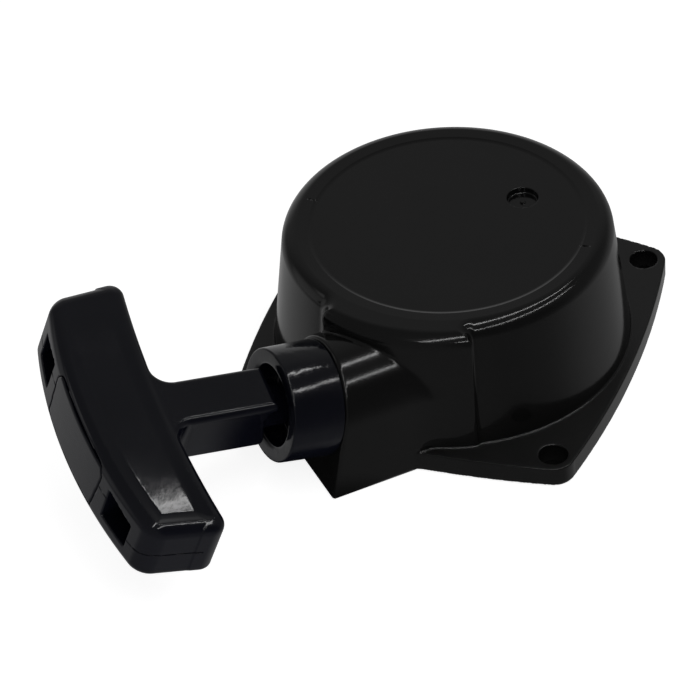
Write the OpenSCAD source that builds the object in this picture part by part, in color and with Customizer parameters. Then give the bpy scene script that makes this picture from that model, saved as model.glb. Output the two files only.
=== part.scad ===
// Recoil starter for a small two-stroke engine, drawn in millimetres.
// Z = 0 is the mounting plane under the flange and Z points up, away from the engine.
// The drum axis is the Z axis. The rope leaves along -X at y = -rope_offset.

/* [Housing] */
// Outside radius of the drum just under its rounded top edge
drum_top_r = 34.6; // [28:0.1:45]
// Outside radius of the drum where it meets the flange
drum_base_r = 37.4; // [30:0.1:50]
// Height of the drum's rim above the mounting plane
drum_h = 33; // [24:0.1:45]
// Radius of the rounded top edge
rim_round = 3.05; // [0.5:0.05:5]
// Thickness of the moulded walls
wall = 2.2; // [1.5:0.1:4]
// Outside radius of the thicker part of the wall just under its rounded top edge
sector_top_r = 37.6; // [35:0.1:50]
// Outside radius of the thicker part of the wall at its foot
sector_base_r = 38.2; // [35:0.1:50]
// Direction where the thicker part of the wall starts
sector_start = 199.6; // [180:0.1:230]
// Direction where the thicker part of the wall ends
sector_end = 251.3; // [235:0.1:280]
// Radius of the slightly lower middle of the top face
ring_line_r = 28.6; // [20:0.1:32]
// How much lower than the rim the middle of the top face lies
top_sink = 0.4; // [0.1:0.05:1]
// Height of the small step round the middle of the top face
ring_step = 0.2; // [0.05:0.05:0.5]
// Radius of the shallow moulding recess in the top face
gate_r = 3.3; // [1:0.1:6]
// Depth of the moulding recess
gate_depth = 1.35; // [0.5:0.05:2]
// Distance of the moulding recess from the drum axis
gate_x = 17.6; // [8:0.1:25]

/* [Flange] */
// Thickness of the flange
flange_t = 4.5; // [3:0.1:8]
// Side of the square on which the four mounting holes sit
hole_square = 65; // [50:0.5:90]
// Radius of the mounting holes
hole_r = 2.9; // [2:0.1:4]
// Radius of the rounded flange corners
corner_r = 4.7; // [4:0.1:9]
// Radius of the gentle curve of each flange edge
edge_r = 200; // [120:5:600]

/* [Rope outlet] */
// Distance from the drum axis to the rope line
rope_offset = 19.8; // [14:0.1:26]
// Upward tilt of the rope outlet
tilt = 12.3; // [0:0.1:25]
// Radius of the arched outlet block
arch_r = 12.4; // [8:0.1:16]
// Height of the arched outlet block
arch_top = 29.4; // [22:0.1:32]
// Distance from the drum axis plane to the outlet face, along the rope
outlet_s = 40.7; // [36:0.1:50]
// Length of the rope guide outside the outlet
guide_len = 11.2; // [6:0.1:20]
// Radius of the rope guide at its front
guide_front_r = 11.8; // [8:0.1:14]
// Radius of the cup in the front of the rope guide
cup_r = 8.4; // [6:0.1:11]
// Depth of the cup
cup_depth = 6; // [3:0.1:9]

/* [Rope] */
// Radius of the rope
rope_r = 1.5; // [1:0.1:2]
// Spacing between neighbouring turns
rope_pitch = 3.1; // [2.2:0.05:4.2]
// Height of the upper row of turns
rope_z = 15.7; // [12:0.1:20]

/* [Reel] */
// Radius of the reel flanges
reel_r = 28; // [22:0.1:31]
// Thickness of the reel flanges
reel_flange_t = 1.5; // [1:0.1:3]
// Radius of the post the reel turns on
post_r = 5; // [4:0.1:7]
// Radial clearance between post and bushing
running_gap = 0.05; // [0.01:0.01:0.1]

/* [Recoil spring] */
// Number of half turns in the spring
spring_half_turns = 22; // [8:1:40]
// Growth of the spring radius over a full turn
spring_step = 1.72; // [0.8:0.01:3]
// Thickness of the spring strip
strip_t = 0.5; // [0.3:0.05:1]
// Width of the spring strip
strip_w = 7; // [4:0.1:9]

/* [Pawls] */
// Distance of the pawl pivots from the drum axis
pawl_x = 13.5; // [10:0.1:18]
// Length of a pawl from pivot to tip
pawl_len = 11; // [7:0.1:14]
// Thickness of a pawl
pawl_t = 1.6; // [1:0.1:3]

/* [Handle] */
// Length of the grip bar
grip_len = 62.6; // [45:0.1:90]
// How much each end of the bar leans in towards the front
end_taper = 2; // [0:0.1:6]
// Thickness of the grip bar
grip_t = 15.6; // [10:0.1:24]
// Distance of the grip's back face along the rope line
grip_back = 76.2; // [70:0.1:90]
// Distance of the grip's front face along the rope line
grip_front = 95.4; // [85:0.1:110]
// Radius of the bowed front face
grip_bow_r = 100; // [70:1:400]
// Radius of the hollowed back face
grip_back_r = 220; // [150:5:900]
// Turn of the handle about the rope
handle_roll = 16.8; // [-45:0.1:45]
// Half width of the stem
stem_half_w = 5.3; // [4:0.1:8]
// Half height of the stem
stem_half_h = 7.1; // [4:0.1:8]
// Distance of the stem's end along the rope line
stem_end = 53.4; // [52:0.1:60]

/* [Hidden] */
$fn = 96;
clear = 0.3;

// Housing
hole_pcr = hole_square / sqrt(2);
wall_z0 = flange_t + 2.4;
foot = 0.5;
sector_r0 = 20;
top_z = drum_h - top_sink;
ceiling_z = top_z - 2.4;
step_half_w = 0.4;
edge_mid = hole_pcr * cos(45) - sqrt(pow(edge_r - corner_r, 2) - pow(hole_square / 2, 2)) + edge_r;
edge_turn = 45 - asin(hole_square / 2 / (edge_r - corner_r));
corner_cut = hole_pcr + corner_r * cos(edge_turn);
arch_axis_z = arch_top - arch_r;
bend_x = 34;
rope_z0 = rope_z - bend_x * tan(tilt);
far = 100;
outlet_wall = 2.6;
arch_x = 18;
ring_wall_r = ring_line_r;
ring_wall_t = 1.4;
rib_half_t = 0.8;
rib_reach = 4;

// Axial stack, from the engine side upward
head_z0 = 3.3;
plate_z0 = 5.8;
plate_t = 1;
washer_z0 = 7.6;
washer_t = 0.7;
post_z0 = washer_z0 + washer_t;
bushing_z0 = post_z0 + 0.2;
pawl_z0 = 6.95;
groove_z0 = rope_z - rope_pitch - rope_r - 0.15;
groove_z1 = rope_z + rope_r + 0.2;
reel_z0 = groove_z0 - reel_flange_t;
reel_z1 = groove_z1 + reel_flange_t;
cassette_z0 = reel_z1 + 0.8;
spring_z0 = cassette_z0 + 1.3;
arbor_z1 = spring_z0 + strip_w + 0.3;

// Reel and rope
bushing_r = post_r + 1.2;
shoulder_r = 3;
thread_r = 1.95;
insert_r = 3;
row_r = [rope_offset, rope_offset, rope_offset - rope_pitch, rope_offset - rope_pitch,
  rope_offset - 2 * rope_pitch, rope_offset - 2 * rope_pitch];
row_z = [rope_z, rope_z - rope_pitch, rope_z - rope_pitch, rope_z, rope_z, rope_z - rope_pitch];
hub_r = rope_offset - 2 * rope_pitch - rope_r - 0.4;
cross_turn = 20;
first_cross = 200;
knot_turn = 100;
knot_x = 9.2;
knot_r = 2.4;

// Pawls and friction plate
pin_r = 1.6;
pawl_eye_r = 3.2;
cam_r = 1;
cam_x = 6;
plate_r = 19.5;
slot_len = 4.6;

// Handle
nose_r = 4.2;
nose_end = outlet_s + guide_len - cup_depth + clear;
chamber_s0 = 83;
cover_t = 1.6;
cover_half_w = 12.8;
cover_n0 = -6.2;
cover_n1 = 6.3;
cover_gap = 0.1;
cover_s0 = grip_back + 8;
recess_end = 71.8;
chamber_half_w = 8.5;
chamber_half_h = 5;
bore_r = 2;
back_sag = 0.6;
pocket_mid = 20;
pocket_half_w = 4.1;
pocket_n0 = -4;
pocket_n1 = 4.2;
pocket_floor = grip_back + 4.5;
stem_recess = 0.9;
stem_plate = 2;
flare_r = 4.3;
washer_s1 = chamber_s0 + 0.8;
handle_knot_r = 3.1;
knot_s = washer_s1 + handle_knot_r;
knot_tail = 1.2;

// Places its children in the frame of the tilted rope line: X along the rope, Z up.
module on_rope() {
  translate([0, -rope_offset, rope_z0])
    rotate([0, tilt, 0])
      rotate([0, 0, 180])
        children();
}

// Places its children in the handle frame: X along the rope, Y along the grip bar.
module on_handle() {
  on_rope()
    rotate([-handle_roll, 0, 0])
      children();
}

// A round bar from one distance along X to another.
module bar(s0, s1, r0, r1) {
  translate([s0, 0, 0])
    rotate([0, 90, 0])
      cylinder(h = s1 - s0, r1 = r0, r2 = r1);
}

// A round rod between two points.
module rod(p, q, r) {
  v = q - p;
  translate(p)
    rotate([0, acos(v[2] / norm(v)), atan2(v[1], v[0])])
      cylinder(h = norm(v), r = r);
}

// Half section of the drum's outer shape from radius r0 outward: wall radius at the foot and at the top.
module drum_section(r0, base_r, top_r) {
  edge_r0 = top_r - rim_round;
  edge_z0 = drum_h - rim_round;
  polygon([[r0, 0], [base_r + foot, 0], [base_r + foot, flange_t + 0.3], [base_r, wall_z0],
    [top_r, edge_z0], [edge_r0, edge_z0], [edge_r0, drum_h], [r0, drum_h]]);
  translate([edge_r0, edge_z0])
    circle(r = rim_round);
}

// Half section of what is taken off the top: the middle is lowest, a small step runs round it, and the
// band outside the step rises to the rim.
module top_section() {
  polygon([[0, top_z], [ring_line_r - step_half_w, top_z], [ring_line_r + step_half_w, top_z + ring_step],
    [drum_top_r - rim_round, drum_h], [drum_top_r - rim_round, drum_h + 1], [0, drum_h + 1]]);
}

// Half section of the space inside the drum.
module drum_hollow_section() {
  polygon([[0, -1], [drum_base_r - wall, -1], [drum_base_r - wall, wall_z0],
    [drum_top_r - wall, ceiling_z], [0, ceiling_z]]);
}

// One of the four large discs whose common part is the flange's outline.
module edge_disc(a) {
  rotate([0, 0, a])
    translate([edge_mid - edge_r, 0])
      circle(r = edge_r, $fn = 720);
}

// The flange: a square with bowed edges and rounded corners.
module flange_plate() {
  linear_extrude(flange_t) {
    intersection() {
      edge_disc(45);
      edge_disc(135);
      edge_disc(225);
      edge_disc(315);
      square(2 * corner_cut, center = true);
    }
    for (a = [0 : 90 : 270]) {
      rotate([0, 0, a])
        translate([hole_pcr, 0])
          circle(r = corner_r);
    }
  }
}

// The arched block from z0 up, its walls moved inward by inset, ending square to the rope at s1.
module arch_block(inset, s1, z0) {
  intersection() {
    translate([-arch_x, -rope_offset, 0])
      rotate([0, -90, 0])
        linear_extrude(s1) {
          translate([arch_axis_z, 0])
            circle(r = arch_r - inset);
          translate([z0, inset - arch_r])
            square([arch_axis_z - z0, 2 * (arch_r - inset)]);
        }
    on_rope()
      translate([s1 - far, -far / 2, -far / 2])
        cube(far);
  }
}

module housing_outside() {
  rotate_extrude()
    drum_section(0, drum_base_r, drum_top_r);
  rotate([0, 0, sector_start])
    rotate_extrude(angle = sector_end - sector_start)
      drum_section(sector_r0, sector_base_r, sector_top_r);
  flange_plate();
  arch_block(0, outlet_s, 0);
}

module housing_inside() {
  rotate_extrude()
    drum_hollow_section();
  arch_block(wall, outlet_s - outlet_wall, -1);
}

module housing() {
  color("#1b1b1d") {
    difference() {
      housing_outside();
      housing_inside();
      for (a = [0 : 90 : 270]) {
        rotate([0, 0, a])
          translate([hole_pcr, 0, -1])
            cylinder(h = flange_t + 2, r = hole_r);
      }
      rotate_extrude()
        top_section();
      translate([gate_x, 0, top_z - gate_depth])
        cylinder(h = gate_depth + 1, r = gate_r);
      on_rope()
        bar(outlet_s - 6, outlet_s + 1, 6, 6);
    }
    difference() {
      translate([0, 0, post_z0])
        cylinder(h = ceiling_z - post_z0 + 1, r = post_r);
      translate([0, 0, post_z0 - 1])
        cylinder(h = 15, r = insert_r);
    }
    difference() {
      translate([0, 0, cassette_z0 + 1])
        cylinder(h = ceiling_z - cassette_z0 - 0.5, r = ring_wall_r + ring_wall_t);
      translate([0, 0, cassette_z0])
        cylinder(h = ceiling_z - cassette_z0, r = ring_wall_r);
    }
    for (a = [15 : 60 : 315]) {
      rotate([0, 0, a])
        translate([ring_wall_r + 0.5, -rib_half_t, cassette_z0 + 3])
          cube([rib_reach, 2 * rib_half_t, ceiling_z - cassette_z0 - 2.5]);
    }
  }
}

module rope_guide() {
  color("#15151a")
    on_rope()
      difference() {
        union() {
          bar(outlet_s, outlet_s + 0.8, arch_r - 0.1, arch_r - 0.1);
          bar(outlet_s + 0.7, outlet_s + guide_len, arch_r - 0.3, guide_front_r);
          bar(outlet_s - 3.6, outlet_s + 1, 6, 6);
        }
        bar(outlet_s + guide_len - cup_depth, outlet_s + guide_len + 1, cup_r, cup_r);
        bar(outlet_s - 5, outlet_s + guide_len, 2.3, 2.3);
        bar(outlet_s - 4, outlet_s - 0.8, 3.6, 3.6);
      }
}

module rope_eyelet() {
  color("#b9bcc2")
    on_rope()
      difference() {
        union() {
          bar(outlet_s - 3.6, outlet_s - 0.8, 3.6, 3.6);
          bar(outlet_s - 4.4, outlet_s - 3.6, 4.6, 4.6);
        }
        bar(outlet_s - 5, outlet_s, 2.3, 2.3);
        bar(outlet_s - 4.5, outlet_s - 3.4, 3.4, 2.3);
      }
}

module spring_cassette() {
  color("#4a4d52")
    difference() {
      translate([0, 0, cassette_z0])
        cylinder(h = strip_w + 2.4, r = ring_wall_r);
      translate([0, 0, cassette_z0 + 1])
        cylinder(h = strip_w + 2.4, r = ring_wall_r - 1.2);
      translate([0, 0, cassette_z0 - 1])
        cylinder(h = 4, r = 9);
    }
}

// The strip winds outward in half turns about two centres, so each half turn is a true arc.
module recoil_spring() {
  arbor_r = 7.4;
  color("#7d8288")
    translate([0, 0, spring_z0]) {
      for (i = [0 : spring_half_turns - 1]) {
        translate([(i % 2 == 0) ? 0 : spring_step / 2, 0, 0])
          rotate([0, 0, (i % 2 == 0) ? 0 : 180])
            rotate_extrude(angle = 180)
              translate([arbor_r + i * spring_step / 2, 0])
                square([strip_t, strip_w]);
      }
    }
}

module post_insert() {
  color("#b08d3c")
    difference() {
      translate([0, 0, post_z0])
        cylinder(h = 12, r = insert_r);
      translate([0, 0, post_z0 - 1])
        cylinder(h = 14, r = thread_r);
    }
}

module center_screw() {
  color("#9a9da3")
    difference() {
      union() {
        translate([0, 0, head_z0])
          cylinder(h = 2.4, r = 5);
        translate([0, 0, head_z0 + 2.3])
          cylinder(h = washer_z0 - head_z0 - 2.3, r = shoulder_r);
        translate([0, 0, washer_z0 - 0.1])
          cylinder(h = 11.5, r = thread_r);
      }
      translate([0, 0, head_z0 - 1])
        cylinder(h = 2.6, r = 2.6, $fn = 6);
    }
}

module retaining_washer() {
  color("#8d9096")
    difference() {
      translate([0, 0, washer_z0])
        cylinder(h = washer_t, r = 7.5);
      translate([0, 0, washer_z0 - 1])
        cylinder(h = 3, r = thread_r + 0.05);
    }
}

// Wave spring that presses the friction plate, drawn as a flat ring of wire.
module friction_spring() {
  color("#7d8288")
    translate([0, 0, plate_z0 + plate_t + 0.45])
      rotate_extrude()
        translate([4.4, 0])
          circle(r = 0.3);
}

module reel() {
  color("#d8d6cf")
    difference() {
      union() {
        translate([0, 0, reel_z0])
          cylinder(h = reel_flange_t, r = reel_r);
        translate([0, 0, reel_z0 + 0.5])
          cylinder(h = reel_z1 - reel_z0 - 1, r = hub_r);
        translate([0, 0, groove_z1])
          cylinder(h = reel_flange_t, r = reel_r);
        translate([0, 0, reel_z1 - 0.5])
          cylinder(h = arbor_z1 - reel_z1 + 0.5, r = 7.1);
        for (side = [-1, 1]) {
          translate([side * pawl_x, 0, pawl_z0 - 0.1])
            cylinder(h = reel_z0 - pawl_z0 + 0.6, r = pin_r);
        }
      }
      translate([0, 0, reel_z0 - 1])
        cylinder(h = 40, r = bushing_r);
      rotate([0, 0, knot_turn])
        translate([knot_x, 0, reel_z0 - 1])
          cylinder(h = rope_z - rope_pitch + 2.6 - reel_z0 + 1, r = knot_r + 0.1);
      rotate([0, 0, knot_turn])
        rod([knot_x, 0, row_z[5]], [hub_r + 1, 0, row_z[5]], rope_r + 0.1);
      for (a = [20 : 60 : 320]) {
        rotate([0, 0, a])
          translate([23.5, 0, reel_z0 - 1])
            cylinder(h = reel_flange_t + 1.4, r = 2.6);
      }
    }
}

module reel_bushing() {
  color("#b08d3c")
    difference() {
      translate([0, 0, bushing_z0])
        cylinder(h = arbor_z1 - bushing_z0, r = bushing_r);
      translate([0, 0, bushing_z0 - 1])
        cylinder(h = 40, r = post_r + running_gap);
    }
}

function turn_start(i) = (i == 0) ? 270 : first_cross + cross_turn - (i - 1) * cross_turn;
function turn_stop(i) = first_cross + 360 - i * cross_turn;
function on_turn(i, a) = [row_r[i] * cos(a), row_r[i] * sin(a), row_z[i]];

// Six turns in two rows and three layers, joined where the rope crosses from turn to turn.
module rope_winding() {
  color("#26262a") {
    for (i = [0 : 5]) {
      rotate([0, 0, turn_start(i)])
        rotate_extrude(angle = turn_stop(i) - turn_start(i))
          translate([row_r[i], row_z[i]])
            circle(r = rope_r, $fn = 32);
    }
    for (i = [0 : 4]) {
      rod(on_turn(i, turn_stop(i) - 1), on_turn(i + 1, turn_start(i + 1) + 1), rope_r - 0.02);
    }
  }
}

module reel_rope_knot() {
  color("#26262a")
    rotate([0, 0, knot_turn]) {
      translate([knot_x, 0, row_z[5]])
        sphere(r = knot_r, $fn = 32);
      rod([knot_x, 0, row_z[5]], [hub_r - 0.2, 0, row_z[5]], rope_r - 0.05);
    }
}

module pawl_springs() {
  color("#9a9da3")
    for (a = [0, 180]) {
      rotate([0, 0, a])
        translate([pawl_x, 0, pawl_z0 + pawl_t + 0.35]) {
          rotate_extrude()
            translate([2.2, 0])
              circle(r = 0.25, $fn = 24);
          rod([2.2, 0, 0], [2.2, -6, 0], 0.23);
          rod([-2.2, 0, 0], [-2.2, 5, 0], 0.23);
        }
    }
}

module friction_plate() {
  color("#8d9096")
    difference() {
      translate([0, 0, plate_z0])
        cylinder(h = plate_t, r = plate_r);
      translate([0, 0, plate_z0 - 1])
        cylinder(h = 3, r = shoulder_r + running_gap);
      for (a = [0, 180]) {
        rotate([0, 0, a])
          translate([pawl_x, -cam_x, plate_z0 - 1])
            linear_extrude(3) {
              circle(r = cam_r + clear);
              translate([0, -slot_len])
                circle(r = cam_r + clear);
              translate([-cam_r - clear, -slot_len])
                square([2 * (cam_r + clear), slot_len]);
            }
      }
    }
}

// One pawl at rest: pivot on +X, tip towards -Y, cam pin hanging into the friction plate.
module pawl() {
  translate([pawl_x, 0, 0]) {
    translate([0, 0, pawl_z0])
      linear_extrude(pawl_t)
        difference() {
          union() {
            circle(r = pawl_eye_r);
            polygon([[-2.6, 0], [pawl_eye_r, 0], [2.6, -pawl_len + 2], [2.2, -pawl_len],
              [-0.6, -pawl_len], [-2.2, -cam_x]]);
          }
          circle(r = pin_r + running_gap);
        }
    translate([0, -cam_x, plate_z0])
      cylinder(h = pawl_z0 - plate_z0 + 0.5, r = cam_r);
  }
}

module pawl_a() {
  color("#a5a8ad")
    pawl();
}

module pawl_b() {
  color("#a5a8ad")
    rotate([0, 0, 180])
      pawl();
}

// Plan of the grip bar between its bowed front and hollowed back.
module grip_plan(front) {
  difference() {
    intersection() {
      translate([front - grip_bow_r, 0])
        circle(r = grip_bow_r, $fn = 720);
      polygon([[grip_back, -grip_len / 2], [grip_front, end_taper - grip_len / 2],
        [grip_front, grip_len / 2 - end_taper], [grip_back, grip_len / 2]]);
    }
    translate([grip_back - grip_back_r + back_sag, 0])
      circle(r = grip_back_r, $fn = 720);
  }
}

module handle_solid() {
  translate([0, 0, -grip_t / 2])
    linear_extrude(grip_t)
      grip_plan(grip_front);
  translate([stem_end, -stem_half_w, -stem_half_h])
    cube([grip_back - stem_end + 2, 2 * stem_half_w, 2 * stem_half_h]);
  bar(nose_end, stem_end + 1, nose_r, nose_r);
  for (side = [-1, 1]) {
    translate([0, 0, -stem_half_h])
      linear_extrude(2 * stem_half_h)
        difference() {
          translate([grip_back - flare_r, (side > 0) ? stem_half_w - 1 : -stem_half_w - flare_r])
            square([flare_r + 2, flare_r + 1]);
          translate([grip_back - flare_r, side * (stem_half_w + flare_r)])
            circle(r = flare_r);
        }
  }
}

module handle_grip() {
  color("#14141a")
    on_handle()
      difference() {
        handle_solid();
        bar(nose_end - 1, chamber_s0 + 1, bore_r, bore_r);
        translate([chamber_s0, -chamber_half_w, -chamber_half_h])
          cube([far, 2 * chamber_half_w, 2 * chamber_half_h]);
        translate([0, -cover_half_w, cover_n0])
          difference() {
            translate([cover_s0, 0, 0])
              cube([far, 2 * cover_half_w, cover_n1 - cover_n0]);
            translate([grip_front - cover_t - cover_gap - grip_bow_r, cover_half_w, -1])
              cylinder(h = grip_t, r = grip_bow_r, $fn = 720);
          }
        for (side = [-1, 1]) {
          translate([pocket_floor, side * pocket_mid - pocket_half_w, pocket_n0])
            cube([far, 2 * pocket_half_w, pocket_n1 - pocket_n0]);
          translate([stem_end - 1, side * stem_half_w - (side > 0 ? stem_recess : 1), -stem_half_h - 1])
            cube([recess_end - stem_end + 1, stem_recess + 1, 2 * stem_half_h + 1 - stem_plate]);
        }
      }
}

module knot_cover() {
  color("#14141a")
    on_handle()
      intersection() {
        translate([0, 0, cover_n0 + cover_gap])
          linear_extrude(cover_n1 - cover_n0 - 2 * cover_gap)
            difference() {
              translate([grip_front - grip_bow_r, 0])
                circle(r = grip_bow_r, $fn = 720);
              translate([grip_front - grip_bow_r - cover_t, 0])
                circle(r = grip_bow_r, $fn = 720);
            }
        translate([cover_s0, cover_gap - cover_half_w, -grip_t / 2])
          cube([far, 2 * (cover_half_w - cover_gap), grip_t]);
      }
}

module knot_washer() {
  color("#b9bcc2")
    on_handle()
      difference() {
        bar(chamber_s0, chamber_s0 + 0.8, 4.6, 4.6);
        bar(chamber_s0 - 1, chamber_s0 + 2, 2, 2);
      }
}

module handle_rope_knot() {
  color("#26262a")
    on_handle() {
      translate([knot_s, 0, 0])
        sphere(r = handle_knot_r, $fn = 32);
      bar(knot_s, knot_s + handle_knot_r + knot_tail, rope_r, rope_r);
    }
}

// The rope from the reel to the handle: level inside the drum, then up along the outlet.
module rope_lead() {
  color("#26262a") {
    translate([0, -rope_offset, rope_z])
      rotate([0, -90, 0])
        cylinder(h = bend_x, r = rope_r);
    translate([-bend_x, -rope_offset, rope_z])
      rotate([0, 0, 90])
        sphere(r = rope_r + 0.2);
    on_rope()
      bar(bend_x / cos(tilt), washer_s1 - 0.05, rope_r, rope_r);
  }
}

housing();
rope_guide();
rope_eyelet();
spring_cassette();
recoil_spring();
post_insert();
center_screw();
retaining_washer();
friction_spring();
reel();
reel_bushing();
rope_winding();
reel_rope_knot();
pawl_springs();
friction_plate();
pawl_a();
pawl_b();
handle_grip();
knot_cover();
knot_washer();
handle_rope_knot();
rope_lead();
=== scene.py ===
import math
import bpy
import numpy as np
from mathutils import Matrix, Vector


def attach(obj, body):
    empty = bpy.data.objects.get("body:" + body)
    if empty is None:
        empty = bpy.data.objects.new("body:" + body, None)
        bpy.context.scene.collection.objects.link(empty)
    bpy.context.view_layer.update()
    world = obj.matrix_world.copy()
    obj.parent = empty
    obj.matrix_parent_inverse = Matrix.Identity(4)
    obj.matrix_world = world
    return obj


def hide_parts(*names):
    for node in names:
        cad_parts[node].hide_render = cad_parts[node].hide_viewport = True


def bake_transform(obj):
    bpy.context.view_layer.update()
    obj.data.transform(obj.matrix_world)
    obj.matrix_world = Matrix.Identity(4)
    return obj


# Recoil starter. Shapes are worked out in millimetres in the CAD frame: Z = 0 is the mounting plane, the drum
# stands on the Z axis and the rope leaves along -X, tilted up. Meshes go to Blender in metres.

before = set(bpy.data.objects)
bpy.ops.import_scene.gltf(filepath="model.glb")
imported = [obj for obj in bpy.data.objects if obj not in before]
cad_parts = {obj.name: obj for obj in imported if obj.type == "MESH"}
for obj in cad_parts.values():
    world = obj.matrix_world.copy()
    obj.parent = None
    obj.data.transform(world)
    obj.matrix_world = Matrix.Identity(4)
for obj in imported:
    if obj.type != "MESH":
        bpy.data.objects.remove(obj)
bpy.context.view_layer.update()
MM = 0.001


# ---------------------------------------------------------------------------------------------------------
# Driving dimensions (mm and degrees)
# ---------------------------------------------------------------------------------------------------------
DRUM_TOP_R = 34.6
DRUM_BASE_R = 37.4
DRUM_H = 33.0
TOP_Z = 32.6
RIM_ROUND = 3.05
WALL = 2.2
WALL_Z0 = 6.9
WALL_Z1 = DRUM_H - RIM_ROUND
CEILING_Z = TOP_Z - 2.4
SECTOR_TOP_R = 37.6
SECTOR_BASE_R = 38.2
SECTOR_START = 199.0
SECTOR_END = 251.3
SECTOR_START_ROUND = 1.6
SECTOR_END_ROUND = 0.4
RING_LINE_R = 28.6
RING_HALF_W = 0.45
RING_STEP = 0.2
TICK_ANGLE = math.radians(135.8)
TICK_LEN = 2.2
GATE_X = 17.6
GATE_R = 3.3
GATE_DEPTH = 1.35
GATE_NUB_R = 0.55

FLANGE_T = 4.5
HOLE_SQUARE = 65.0
HOLE_R = 2.9
HOLE_PCR = HOLE_SQUARE / math.sqrt(2)
CORNER_R = 4.68
EDGE_R = 200.0

ROPE_OFFSET = 19.8
ROPE_R = 1.5
ROPE_Z = 15.7
BEND_X = 34.0
ROPE_BEND = 2.0
ROPE_END = 83.7
TILT = math.radians(12.3)
ARCH_R = 12.4
ARCH_AXIS_Z = 17.0
OUTLET_S = 40.7
OUTLET_FACE_T = 2.6
BLOCK_BACK_X = -12.0
ROPE_HOLE_LEN = 8.0
GUIDE_LEN = 11.2
GUIDE_BACK_R = 12.1
GUIDE_FRONT_R = 11.8
CUP_R = 8.4
CUP_DEPTH = 6.0
SPIGOT_R = 6.0
SPIGOT_LEN = 3.6
EYELET_SEAT_R = 3.6
EYELET_SEAT_BACK = 0.8
GUIDE_BORE_R = 2.3

POST_R = 5.0
POST_Z0 = 8.3
INSERT_R = 3.0
INSERT_Z1 = 22.3
RING_WALL_R = 28.6
RING_WALL_T = 1.4
RING_WALL_Z0 = 20.8
RIB_PITCH = math.radians(60)
RIB_START = math.radians(15)
RIB_HALF_T = 0.8

ROLL = math.radians(16.8)
GRIP_BACK = 76.2
GRIP_FRONT = 95.4
GRIP_HALF_LEN = 31.3
END_TAPER = 2.0
GRIP_HALF_T = 7.8
BOW_R = 100.0
BACK_R = 220.0
BACK_HOLLOW = 0.6
DISH_BORDER = 3.0
DISH_DEPTH = 0.35
DISH_CURVE = 0.0035
DISH_TILT = 0.03
STEM_END = 53.4
STEM_HALF_W = 5.3
STEM_HALF_H = 7.1
FLARE_R = 4.3
NOSE_R = 4.2
STEM_WAIST = 1.4
STEM_POCKET_S = 71.8
STEM_POCKET_RIB = 2.0
STEM_POCKET_DEPTH = 0.9
GRIP_BORE_R = 2.0
CHAMBER_S0 = 83.0
CHAMBER_HALF_B = 8.5
CHAMBER_HALF_N = 5.0
DENT_B = 20.0
DENT_N = 0.1
DENT_HALF = 4.1
DENT_BACK = 4.5
DENT_SLOPE = 0.15
END_LINE_N = -0.3
END_LINE_RISE = 0.35
END_LINE_S = 88.5
END_LINE_B = 24.0
SEAM_N = 1.3
LINE_HALF_W = 0.13
COVER_T = 1.6
COVER_HALF_W = 12.7
COVER_N0 = -6.2
COVER_N1 = 6.3

# The rope frame: O is where the rope line crosses x = 0, U runs outward along the rope.
ROPE_O = np.array([0.0, -ROPE_OFFSET, ROPE_Z - BEND_X * math.tan(TILT)])
ROPE_U = np.array([-math.cos(TILT), 0.0, math.sin(TILT)])
SIDE_B = np.array([0.0, -1.0, 0.0])
UP_N = np.array([math.sin(TILT), 0.0, math.cos(TILT)])
GRIP_B = SIDE_B * math.cos(ROLL) - UP_N * math.sin(ROLL)
GRIP_N = UP_N * math.cos(ROLL) + SIDE_B * math.sin(ROLL)


# ---------------------------------------------------------------------------------------------------------
# Distance fields: negative inside, in millimetres
# ---------------------------------------------------------------------------------------------------------
def join(a, b, fillet):
    """Union of two fields with a round fillet in the inner corner."""
    inner = np.hypot(np.maximum(fillet - a, 0), np.maximum(fillet - b, 0))
    return np.maximum(fillet, np.minimum(a, b)) - inner


def meet(a, b, edge):
    """Intersection of two fields with a rounded outer edge."""
    outer = np.hypot(np.maximum(edge + a, 0), np.maximum(edge + b, 0))
    return np.minimum(-edge, np.maximum(a, b)) + outer


def melt(a, b, reach):
    """Union of two fields that meet at a shallow angle, blended over reach."""
    h = np.maximum(reach - np.abs(a - b), 0) / reach
    return np.minimum(a, b) - h * h * reach / 4


def cut(a, b, edge):
    """Field a with field b taken out, the new edge rounded."""
    return meet(a, -b, edge)


def ramp(v, v0, v1):
    """Smooth step from 0 at v0 to 1 at v1."""
    t = np.clip((v - v0) / (v1 - v0), 0, 1)
    return t * t * (3 - 2 * t)


def slab(v, v0, v1):
    return np.maximum(v0 - v, v - v1)


def box_field(u, v, half_u, half_v, corner):
    """Rounded rectangle centred on the origin of (u, v)."""
    du = np.abs(u) - half_u + corner
    dv = np.abs(v) - half_v + corner
    return np.hypot(np.maximum(du, 0), np.maximum(dv, 0)) + np.minimum(np.maximum(du, dv), 0) - corner


def along(p, origin, axis):
    return (p - origin) @ axis


def drafted(r, z, top_r, base_r):
    """A wall that leans in from its foot to its top."""
    slope = (base_r - top_r) / (WALL_Z1 - WALL_Z0)
    return (r - top_r - slope * (WALL_Z1 - z)) / math.hypot(1, slope)


def top_height(r):
    """Height of the top face: a low middle, a small step round it, and a band that rises to the rim."""
    step = np.clip((r - RING_LINE_R + RING_HALF_W) / (2 * RING_HALF_W), 0, 1)
    rim_r = DRUM_TOP_R - RIM_ROUND
    rise = np.clip((r - RING_LINE_R - RING_HALF_W) / (rim_r - RING_LINE_R - RING_HALF_W), 0, 1)
    return TOP_Z + RING_STEP * step ** 1.6 + (DRUM_H - TOP_Z - RING_STEP) * rise + np.maximum(r - rim_r, 0)


def turned(x, y, angle):
    """Signed distance past the half plane that starts at the axis in that direction."""
    a = math.radians(angle)
    return y * math.cos(a) - x * math.sin(a)


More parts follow.
